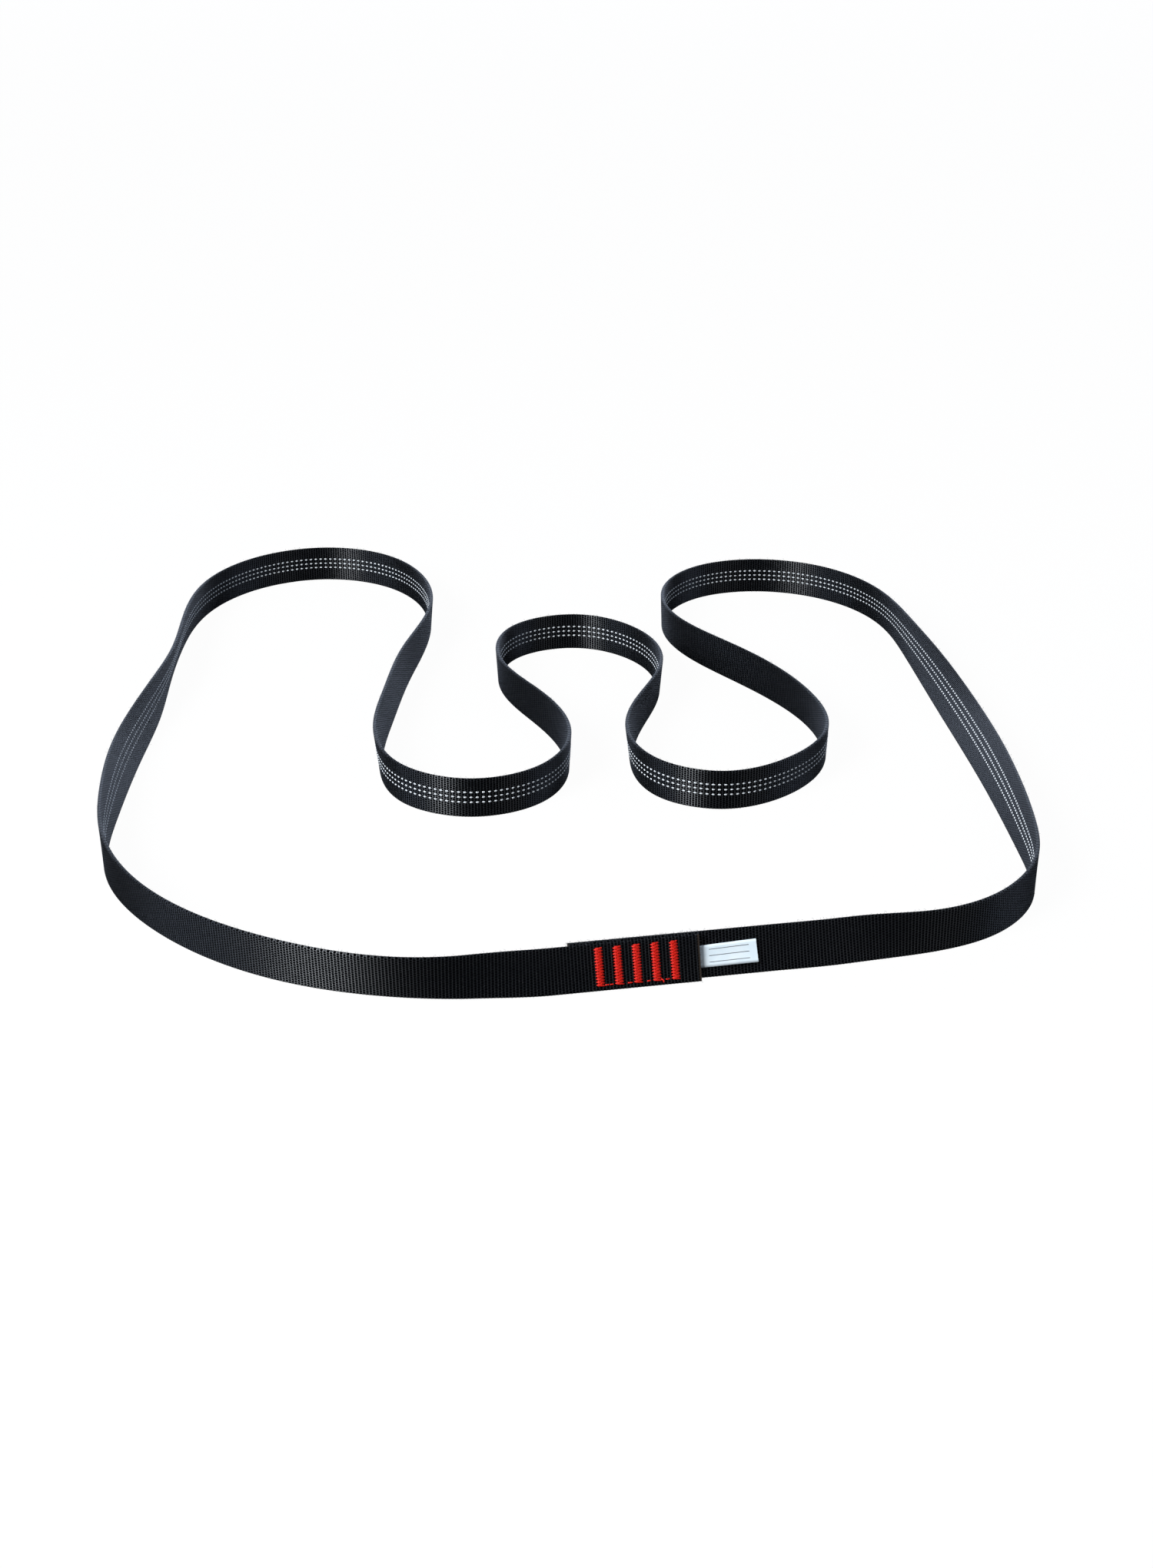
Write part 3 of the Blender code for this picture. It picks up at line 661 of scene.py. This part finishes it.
def thread_tree(material):
    """A tree that nudges a thread's points at random and sweeps an oval section along them."""
    tree, given = new_tree("sewn_thread", Width="Float", Thickness="Float", Jitter="Float",
                           Sides="Int", Seed="Int")
    spread = node(tree, "ShaderNodeCombineXYZ", {0: given["Jitter"], 1: given["Jitter"]})
    back = node(tree, "ShaderNodeVectorMath", {0: spread.outputs[0], 1: (-1, -1, -1)}, operation="MULTIPLY")
    nudge = node(tree, "FunctionNodeRandomValue", {
        0: back.outputs[0], 1: spread.outputs[0], "Seed": given["Seed"],
    }, data_type="FLOAT_VECTOR")
    path = node(tree, "GeometryNodeSetPosition", {
        "Geometry": given["Geometry"], "Offset": nudge.outputs[0],
    })
    length = node(tree, "GeometryNodeSplineParameter").outputs["Length"]
    path = node(tree, "GeometryNodeStoreNamedAttribute", {
        "Geometry": path.outputs[0], "Name": "along", "Value": length,
    }, data_type="FLOAT", domain="POINT")
    ring = node(tree, "GeometryNodeCurvePrimitiveCircle", {"Resolution": given["Sides"], "Radius": 0.5})
    oval = node(tree, "ShaderNodeCombineXYZ", {0: given["Width"], 1: given["Thickness"], 2: 1.0})
    section = node(tree, "GeometryNodeTransform", {"Geometry": ring.outputs[0], "Scale": oval.outputs[0]})
    turn = node(tree, "GeometryNodeSplineParameter").outputs["Factor"]
    section = node(tree, "GeometryNodeStoreNamedAttribute", {
        "Geometry": section.outputs[0], "Name": "around", "Value": turn,
    }, data_type="FLOAT", domain="POINT")
    sweep = node(tree, "GeometryNodeCurveToMesh", {
        "Curve": path.outputs[0], "Profile Curve": section.outputs[0], "Fill Caps": True,
    })
    along = node(tree, "GeometryNodeInputNamedAttribute", {"Name": "along"}, data_type="FLOAT")
    around = node(tree, "GeometryNodeInputNamedAttribute", {"Name": "around"}, data_type="FLOAT")
    girth = node(tree, "ShaderNodeMath", {0: around.outputs[0], 1: given["Width"]}, operation="MULTIPLY")
    place = node(tree, "ShaderNodeCombineXYZ", {0: along.outputs[0], 1: girth.outputs[0]})
    mapped = node(tree, "GeometryNodeStoreNamedAttribute", {
        "Geometry": sweep.outputs[0], "Name": "UVMap", "Value": place.outputs[0],
    }, data_type="FLOAT2", domain="CORNER")
    smooth = node(tree, "GeometryNodeSetShadeSmooth", {"Geometry": mapped.outputs[0]})
    finish_tree(tree, smooth.outputs[0], material)
    return tree


def tack_line():
    """The thread of a tack on one face, from its padding runs to the foot of its zigzag."""
    reach, step = (TACK_WIDTH - THREAD_WIDTH) / 2, TACK_LENGTH / TACK_TEETH / 2
    top, foot = TACK_LENGTH / 2, -TACK_LENGTH / 2
    level = FACE_LEVEL - PUCKER_DEPTH
    points = []
    for number, share in enumerate(PADDING_SHARES):
        run = np.linspace(foot, top, PADDING_POINTS)
        points += [(share * reach, y, level + PADDING_LIFT) for y in (run, run[::-1])[number % 2]]
    for crossing in range(2 * TACK_TEETH):
        side = 1 - 2 * (crossing % 2)
        for share, lift in CROSSING_SHARES:
            x, y = side * reach * (1 - 2 * share), top - (crossing + share) * step
            points.append((x, y, level + TACK_CROWN * lift))
    points.append((-side * reach, foot, level + TACK_CROWN * CROSSING_SHARES[0][1]))
    return np.array(points)


def sewn(name, lines, place, seed, nodes):
    """Threads of one piece, sewn through the lap at a place and kept as one mesh."""
    meshes = []
    for number, line in enumerate(lines):
        path = path_curve(name + "_path", line)
        meshes.append(grown(name, path, sewing, {
            "Width": THREAD_WIDTH, "Thickness": THREAD_THICKNESS, "Jitter": THREAD_JITTER,
            "Sides": THREAD_SIDES, "Seed": seed + number,
        }))
        bpy.data.objects.remove(path)
    with bpy.context.temp_override(active_object=meshes[0], selected_editable_objects=meshes):
        bpy.ops.object.join()
    piece = meshes[0]
    piece.name = piece.data.name = name
    piece.data.transform(lap_frame @ Matrix.Translation(place))
    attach(piece, "sling")
    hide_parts(*nodes)
    return piece


sewing = thread_tree(thread_material())
front_line = tack_line() @ np.array(Matrix.Rotation(TACK_TURN, 3, "Z")).T
behind_line = front_line * (1, 1, -1)
for number, place in enumerate(tack_places(), start=1):
    sewn(f"red_bar_tack_{number}", (front_line, behind_line), (place, -STITCH_DROP, 0),
         2 * number, (f"bar_tack_{number}",))


# The link stitches: where the sewing machine ran on from one tack to the next, the same thread
# shows as one or two short dashes near the tacks' lower ends. One short thread tail stays uncut.
LINK_RISE = 0.0003
DASH_LIFT = 0.00002
DASH_DIVE = 0.0004
DASH_RAMP_SHARE = 0.1
LINK_DASH_SHARES = (((0.08, 0.36), (0.52, 0.82)), ((0.45, 0.8),), ((0.48, 0.76),), ((0.5, 0.78),))
TAIL_SHARES = ((-0.1, 0.2, -0.5), (0.25, 0.08, 0.4), (0.5, -0.1, 0.7), (0.72, -0.5, 0.8), (0.62, -0.95, 0.6))
TAILED_TACK = 4
TAIL_REACH = 0.0011
LINK_SEED = 20


def link_line(dashes, face):
    """The running thread of a link: up out of the tape for each dash and down again."""
    reach = TACK_PITCH - TACK_WIDTH
    points = []
    for start, end in dashes:
        for share, lift in (
            (start - DASH_RAMP_SHARE, -DASH_DIVE), (start, 0), ((2 * start + end) / 3, DASH_LIFT),
            ((start + 2 * end) / 3, DASH_LIFT), (end, 0), (end + DASH_RAMP_SHARE, -DASH_DIVE),
        ):
            points.append(((share - 0.5) * reach, 0, face * (FACE_LEVEL + lift)))
    return np.array(points)


def tail_line():
    """An uncut end of thread that hangs from the lower corner of a tack."""
    corner = -TACK_PITCH / 2 + TACK_WIDTH / 2 - THREAD_WIDTH / 2
    return np.array([(corner + x * TAIL_REACH, y * TAIL_REACH, FACE_LEVEL + z * THREAD_WIDTH)
                     for x, y, z in TAIL_SHARES])


for number, (left, right) in enumerate(zip(tack_places(), tack_places()[1:]), start=1):
    dashes = LINK_DASH_SHARES[number - 1]
    lines = [link_line(dashes, 1), link_line(dashes, -1)]
    if number == TAILED_TACK:
        lines.append(tail_line())
    place = ((left + right) / 2, -STITCH_DROP - TACK_LENGTH / 2 + LINK_RISE, 0)
    sewn(f"red_link_stitch_{number}", lines, place, LINK_SEED + 3 * number, (f"link_stitch_{number}",))


# The label: a pale satin ribbon, cut with a hot knife, with its root caught in the lap. It lies
# on the tape with a slight curl, and its mesh is finer about the line where it leaves the lap.
LABEL_WIDTH = 0.0084
LABEL_FLARE_SHARE = 0.07
LABEL_SLANT_SHARE = 0.06
LABEL_ROOT = 0.008
LABEL_STEP = 0.0006
LABEL_FOLD_STEP = 0.00015
LABEL_FOLD_ZONE = 0.0018
LABEL_ROWS = 9
LABEL_DECIMALS = 6
LABEL_CURL = 0.0007
LABEL_CUP = 0.00018
FULL_CUP_SHARE = 1 / 3
LABEL_TURN = math.radians(1.6)
LABEL_WHITE = "#eef8fd"
LABEL_SHADE = "#cfe4f1"
RULE_GREY = "#4a525b"
RULE_SPACING = 0.0024
RULE_WIDTH = 0.00024
RULE_START = 0.003
RULE_END = 0.003
SATIN_THREAD = 0.00018
SATIN_RELIEF = 0.00002


def satin_material():
    """White satin ribbon with a bluish cast: fine warp threads, drawn a little coarser than real
    ones, with a strong soft lustre along them, and three plain ruled lines to write on."""
    material, tree, shader = new_material("white_satin_ribbon")
    place = node(tree, "ShaderNodeUVMap", uv_map="UVMap")
    parts = node(tree, "ShaderNodeSeparateXYZ", {0: place.outputs[0]})
    warp = node(tree, "ShaderNodeMapRange", {
        "Value": wave(tree, parts.outputs[1], SATIN_THREAD), "From Min": -1.0,
    })
    drift = node(tree, "ShaderNodeTexNoise", {
        "Vector": place.outputs[0], "Scale": 1 / LABEL_WIDTH, "Detail": 3.0,
    })
    # Painted shade: the ground drifts at random between white and a bluish shade.
    ground = node(tree, "ShaderNodeMix", {
        0: drift.outputs["Fac"], 6: linear(LABEL_SHADE), 7: linear(LABEL_WHITE),
    }, data_type="RGBA")
    near = node(tree, "ShaderNodeMath", {
        0: parts.outputs[1], 1: RULE_SPACING / 2,
    }, operation="PINGPONG")
    ruled = node(tree, "ShaderNodeMath", {0: near.outputs[0], 1: RULE_WIDTH / 2}, operation="LESS_THAN")
    after = node(tree, "ShaderNodeMath", {0: parts.outputs[0], 1: RULE_START}, operation="GREATER_THAN")
    before = node(tree, "ShaderNodeMath", {
        0: parts.outputs[0], 1: LABEL_FLAP - RULE_END,
    }, operation="LESS_THAN")
    field = node(tree, "ShaderNodeMath", {0: after.outputs[0], 1: before.outputs[0]}, operation="MULTIPLY")
    ink = node(tree, "ShaderNodeMath", {0: ruled.outputs[0], 1: field.outputs[0]}, operation="MULTIPLY")
    colour = node(tree, "ShaderNodeMix", {
        0: ink.outputs[0], 6: ground.outputs[2], 7: linear(RULE_GREY),
    }, data_type="RGBA")
    bump = node(tree, "ShaderNodeBump", {
        "Strength": 0.3, "Distance": SATIN_RELIEF, "Height": warp.outputs[0],
    })
    tree.links.new(colour.outputs[2], shader.inputs["Base Color"])
    tree.links.new(bump.outputs[0], shader.inputs["Normal"])
    shader.inputs["Roughness"].default_value = 0.38
    shader.inputs["IOR"].default_value = 1.5
    shader.inputs["Sheen Weight"].default_value = 0.15
    return material


def label_sheet():
    """The ribbon's middle surface in the lap's frame, with a UV map in metres from the fold."""
    fold = LAP_LENGTH / 2 + LABEL_STUB + CLEARANCE
    rough = np.arange(-LABEL_ROOT, LABEL_FLAP, LABEL_STEP)
    fine = np.arange(-LABEL_FOLD_ZONE, LABEL_FOLD_ZONE, LABEL_FOLD_STEP)
    reach = np.unique(np.round(np.concatenate([rough, fine, [LABEL_FLAP]]), LABEL_DECIMALS))
    mesh = bmesh.new()
    flat = mesh.loops.layers.uv.new("UVMap")
    rows = np.linspace(-LABEL_WIDTH / 2, LABEL_WIDTH / 2, LABEL_ROWS)
    grid, spread = [], {}
    for x in reach:
        share = max(x / LABEL_FLAP, 0)
        line = []
        for y in rows:
            cup = LABEL_CUP * (2 * y / LABEL_WIDTH) ** 2 * smooth_step(share / FULL_CUP_SHARE)
            z = LABEL_CURL * share * share + cup
            side = y * (1 + LABEL_FLARE_SHARE * share) + max(x, 0) * math.tan(LABEL_TURN)
            reached = fold + x - y * LABEL_SLANT_SHARE * share
            corner = mesh.verts.new((reached, side - STITCH_DROP, z))
            spread[corner] = (x, y)
            line.append(corner)
        grid.append(line)
    for left, right in zip(grid, grid[1:]):
        for low in range(LABEL_ROWS - 1):
            face = mesh.faces.new((left[low], right[low], right[low + 1], left[low + 1]))
            face.smooth = True
            for loop in face.loops:
                loop[flat].uv = spread[loop.vert]
    data = bpy.data.meshes.new("satin_label")
    mesh.to_mesh(data)
    mesh.free()
    return data


label_mesh = label_sheet()
label_mesh.materials.append(satin_material())
label_mesh.transform(lap_frame)
label = bpy.data.objects.new("satin_label", label_mesh)
scene.collection.objects.link(label)
wall = label.modifiers.new("thickness", "SOLIDIFY")
wall.thickness = LABEL_THICKNESS
wall.offset = 0
wall.use_even_offset = True
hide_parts("label_root", "label_flap")
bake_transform(label)


# Stray fibres: short broken filaments of the tape, which stand out of its edges. They are thickest
# round its two cut ends, where the blade has left a fuzz.
FIBRE_WIDTH = 0.00007
FIBRE_LENGTH = 0.0011
FIBRE_SCATTER = 0.0003
FIBRE_STEPS = 4
FIBRE_SIDES = 3
SHORTEST_FIBRE_SHARE = 0.4
UPPER_EDGE_SHARE = 0.7
LAP_PATH_POINTS = 20
EDGE_FIBRES = 1800
LAP_FIBRES = 260
END_FIBRES = 70
FIBRE_GREY = "#2b2f36"


def fibre_material():
    """A single loose filament of black polyamide, painted grey as a painted sheen, since so thin a filament
    looks grey against the light.
    """
    material, tree, shader = new_material("loose_polyamide_fibre")
    shader.inputs["Base Color"].default_value = linear(FIBRE_GREY)
    shader.inputs["Roughness"].default_value = 0.5
    shader.inputs["IOR"].default_value = 1.53
    return material


def fibre_tree(material):
    """A tree that stands short bent fibres at random places on the edges beside a path."""
    tree, given = new_tree("stray_fibres", Count="Int", Half_Width="Float", Scatter="Float",
                           Length="Float", Width="Float", Seed="Int")
    roots = node(tree, "GeometryNodeCurveToPoints", {
        "Curve": given["Geometry"], "Count": given["Count"],
    }, mode="COUNT")
    side = node(tree, "FunctionNodeRandomValue", {
        "Probability": UPPER_EDGE_SHARE, "Seed": given["Seed"],
    }, data_type="BOOLEAN")
    sign = node(tree, "ShaderNodeMath", {0: side.outputs[3], 1: 2.0, 2: -1.0}, operation="MULTIPLY_ADD")
    up = node(tree, "ShaderNodeVectorMath", {
        0: roots.outputs["Normal"], 1: roots.outputs["Tangent"],
    }, operation="CROSS_PRODUCT")
    shift = node(tree, "ShaderNodeMath", {0: sign.outputs[0], 1: given["Half Width"]}, operation="MULTIPLY")
    edge = node(tree, "ShaderNodeVectorMath", {
        0: up.outputs[0], "Scale": shift.outputs[0],
    }, operation="SCALE")
    spread = node(tree, "FunctionNodeRandomValue", {
        0: (-1.0, -1.0, 0.0), 1: (1.0, 1.0, 0.5), "Seed": given["Seed"],
    }, data_type="FLOAT_VECTOR")
    loose = node(tree, "ShaderNodeVectorMath", {
        0: spread.outputs[0], "Scale": given["Scatter"],
    }, operation="SCALE")
    offset = node(tree, "ShaderNodeVectorMath", {0: edge.outputs[0], 1: loose.outputs[0]}, operation="ADD")
    placed = node(tree, "GeometryNodeSetPosition", {
        "Geometry": roots.outputs["Points"], "Offset": offset.outputs[0],
    })
    lean = node(tree, "FunctionNodeRandomValue", {
        0: (-1.0, -1.0, 0.0), 1: (1.0, 1.0, 1.0), "Seed": given["Seed"],
    }, data_type="FLOAT_VECTOR")
    turned = node(tree, "FunctionNodeAlignRotationToVector", {"Vector": lean.outputs[0]}, axis="Z")
    size = node(tree, "FunctionNodeRandomValue", {
        2: SHORTEST_FIBRE_SHARE, 3: 1.0, "Seed": given["Seed"],
    }, data_type="FLOAT")
    reach = node(tree, "ShaderNodeMath", {0: given["Length"], 1: 0.5}, operation="MULTIPLY")
    bow = node(tree, "ShaderNodeCombineXYZ", {0: reach.outputs[0], 2: reach.outputs[0]})
    tip = node(tree, "ShaderNodeCombineXYZ", {2: given["Length"]})
    arc = node(tree, "GeometryNodeCurveQuadraticBezier", {
        "Resolution": FIBRE_STEPS, "Start": (0.0, 0.0, 0.0), "Middle": bow.outputs[0], "End": tip.outputs[0],
    })
    stood = node(tree, "GeometryNodeInstanceOnPoints", {
        "Points": placed.outputs[0], "Instance": arc.outputs[0], "Rotation": turned.outputs[0],
        "Scale": size.outputs[1],
    })
    fibres = node(tree, "GeometryNodeRealizeInstances", {"Geometry": stood.outputs[0]})
    half = node(tree, "ShaderNodeMath", {0: given["Width"], 1: 0.5}, operation="MULTIPLY")
    ring = node(tree, "GeometryNodeCurvePrimitiveCircle", {
        "Resolution": FIBRE_SIDES, "Radius": half.outputs[0],
    })
    swept = node(tree, "GeometryNodeCurveToMesh", {
        "Curve": fibres.outputs[0], "Profile Curve": ring.outputs[0], "Fill Caps": True,
    })
    finish_tree(tree, swept.outputs[0], material)
    return tree


def lap_path(name, corners):
    """A straight path from one corner to the next in the lap's frame."""
    low, high = (lap_frame @ Vector(corner) for corner in corners)
    return path_curve(name, [low.lerp(high, share) for share in np.linspace(0, 1, LAP_PATH_POINTS)])


fibres_grow = fibre_tree(fibre_material())
edge_level = TAPE_WIDTH / 2
end_reach = LAP_LENGTH / 2
fibre_paths = {
    "edges": (tape_path, EDGE_FIBRES, edge_level),
    "lap": (lap_path("lap", ((-end_reach, edge_level, 0), (end_reach, edge_level, 0))), LAP_FIBRES, 0),
    "right_end": (lap_path("right", ((end_reach, -edge_level, LAYER_PITCH / 2),
                                     (end_reach, edge_level, LAYER_PITCH / 2))), END_FIBRES, 0),
    "left_end": (lap_path("left", ((-end_reach, -edge_level, -LAYER_PITCH / 2),
                                   (-end_reach, edge_level, -LAYER_PITCH / 2))), END_FIBRES, 0),
}
for number, (where, (path, count, half_width)) in enumerate(fibre_paths.items()):
    fibres = grown(f"stray_fibres_{where}", path, fibres_grow, {
        "Count": count, "Half Width": half_width, "Scatter": FIBRE_SCATTER, "Length": FIBRE_LENGTH,
        "Width": FIBRE_WIDTH, "Seed": number,
    })
    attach(fibres, "sling")
    bpy.data.objects.remove(path)
for guide in (tape_section, yarn_path):
    bpy.data.objects.remove(guide)


# The table and the light: a white surface, bright walls behind it and on both sides, a lamp to
# the front left and a softer, weaker one to the front right.
FLOOR_SIZE = 40.0
FLOOR_SEEN = "#f6f7f8"
FLOOR_GLOW_SHARE = 0.97
FLOOR_LIT = "#232527"
FLOOR_LEVEL = -0.0002
AMBIENT_STRENGTH = 0.03
LAMP_WHITE = "#ffffff"
SKY_BLUE = "#d6e3fb"
# Each lamp: its place and the point it is aimed at, its width and height, in metres, its power
# in watts and its colour.
LAMPS = {
    "back_wall": ((0.0, 3.2, 1.1), (0.0, 0.0, 0.0), (5.0, 1.7), 70, SKY_BLUE),
    "left_wall": ((-1.9, -0.35, 0.8), (0.0, 0.0, 0.0), (1.6, 1.0), 16, SKY_BLUE),
    "right_wall": ((1.9, 0.3, 1.0), (0.0, 0.0, 0.0), (1.6, 1.0), 14, SKY_BLUE),
    "front_left": ((-0.95, -1.0, 0.9), (0.0, -0.1, 0.0), (0.65, 0.65), 40, LAMP_WHITE),
    "front_right": ((1.1, -0.75, 1.0), (0.0, -0.1, 0.0), (0.9, 0.9), 4, LAMP_WHITE),
}


def table_material():
    """A matt white table. To the camera it glows like the room behind it; the light that reaches
    the sling by way of it stays weak, so that the black tape keeps its depth."""
    material, tree, shader = new_material("white_table")
    tree.nodes.remove(shader)
    seen = node(tree, "ShaderNodeLightPath")
    tone = node(tree, "ShaderNodeMix", {
        0: seen.outputs["Is Camera Ray"], 6: linear(FLOOR_LIT), 7: linear(FLOOR_SEEN),
    }, data_type="RGBA")
    matt = node(tree, "ShaderNodeBsdfDiffuse", {"Color": tone.outputs[2]})
    glow = node(tree, "ShaderNodeEmission", {"Color": (1, 1, 1, 1), "Strength": 1.0})
    share = node(tree, "ShaderNodeMath", {
        0: seen.outputs["Is Camera Ray"], 1: FLOOR_GLOW_SHARE,
    }, operation="MULTIPLY")
    mixed = node(tree, "ShaderNodeMixShader", {
        0: share.outputs[0], 1: matt.outputs[0], 2: glow.outputs[0],
    })
    tree.links.new(mixed.outputs[0], tree.nodes["Material Output"].inputs["Surface"])
    return material


floor_mesh = bpy.data.meshes.new("floor")
shell = bmesh.new()
bmesh.ops.create_grid(shell, x_segments=1, y_segments=1, size=FLOOR_SIZE / 2)
shell.to_mesh(floor_mesh)
shell.free()
floor = bpy.data.objects.new("floor", floor_mesh)
floor.location = (0, 0, FLOOR_LEVEL)
scene.collection.objects.link(floor)
floor_mesh.materials.append(table_material())

# The room is white to the camera and almost dark to the sling, whose sheen comes from the lamps.
world = bpy.data.worlds.new("studio")
scene.world = world
world.use_nodes = True
tree = world.node_tree
background = tree.nodes["Background"]
seen = node(tree, "ShaderNodeLightPath")
strength = node(tree, "ShaderNodeMapRange", {
    "Value": seen.outputs["Is Camera Ray"], "To Min": AMBIENT_STRENGTH, "To Max": 1.0,
})
background.inputs["Color"].default_value = (1, 1, 1, 1)
tree.links.new(strength.outputs[0], background.inputs["Strength"])


def area_light(name, place, aim, size, power, colour):
    """A rectangular lamp at a place, turned towards the point it is aimed at."""
    data = bpy.data.lights.new(name, "AREA")
    data.shape = "RECTANGLE"
    data.size, data.size_y = size
    data.energy = power
    data.color = linear(colour)[:3]
    made = bpy.data.objects.new(name, data)
    made.location = place
    made.rotation_euler = (Vector(aim) - Vector(place)).to_track_quat("-Z", "Y").to_euler()
    made.visible_camera = False
    scene.collection.objects.link(made)


for name, lamp in LAMPS.items():
    area_light(name, *lamp)

scene.view_settings.view_transform = "Standard"
